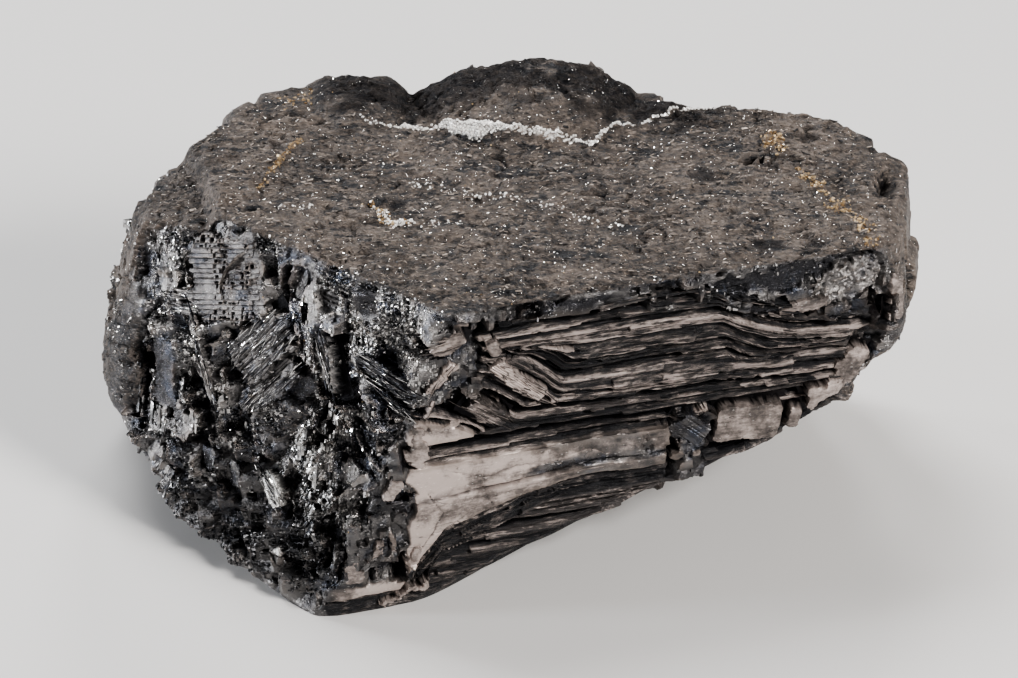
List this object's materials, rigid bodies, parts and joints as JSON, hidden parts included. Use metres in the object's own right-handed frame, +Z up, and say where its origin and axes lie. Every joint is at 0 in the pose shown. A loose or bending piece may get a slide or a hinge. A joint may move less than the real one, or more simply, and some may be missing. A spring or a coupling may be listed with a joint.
{
  "type": "galena specimen",
  "caption": "Hand specimen of galena: a heavy wedge-shaped lump with a crusted top, a side of level cleavage bands and a hackly broken side, lying on a flat cleaved base.",
  "frame": {"origin": "on the flat cleaved underside, below the heart of the stone", "axes": "+Z up out of the flat base, +X along the specimen towards its blunt right end, +Y away from the banded side"},
  "size_m": [0.0927, 0.0527, 0.0446],
  "materials": {
    "galena": "lead-grey cleavage, from bright to satin, under a dull brown-grey crust"
  },
  "bodies": {
    "root": {"galena": "galena"}
  },
  "joints": []
}
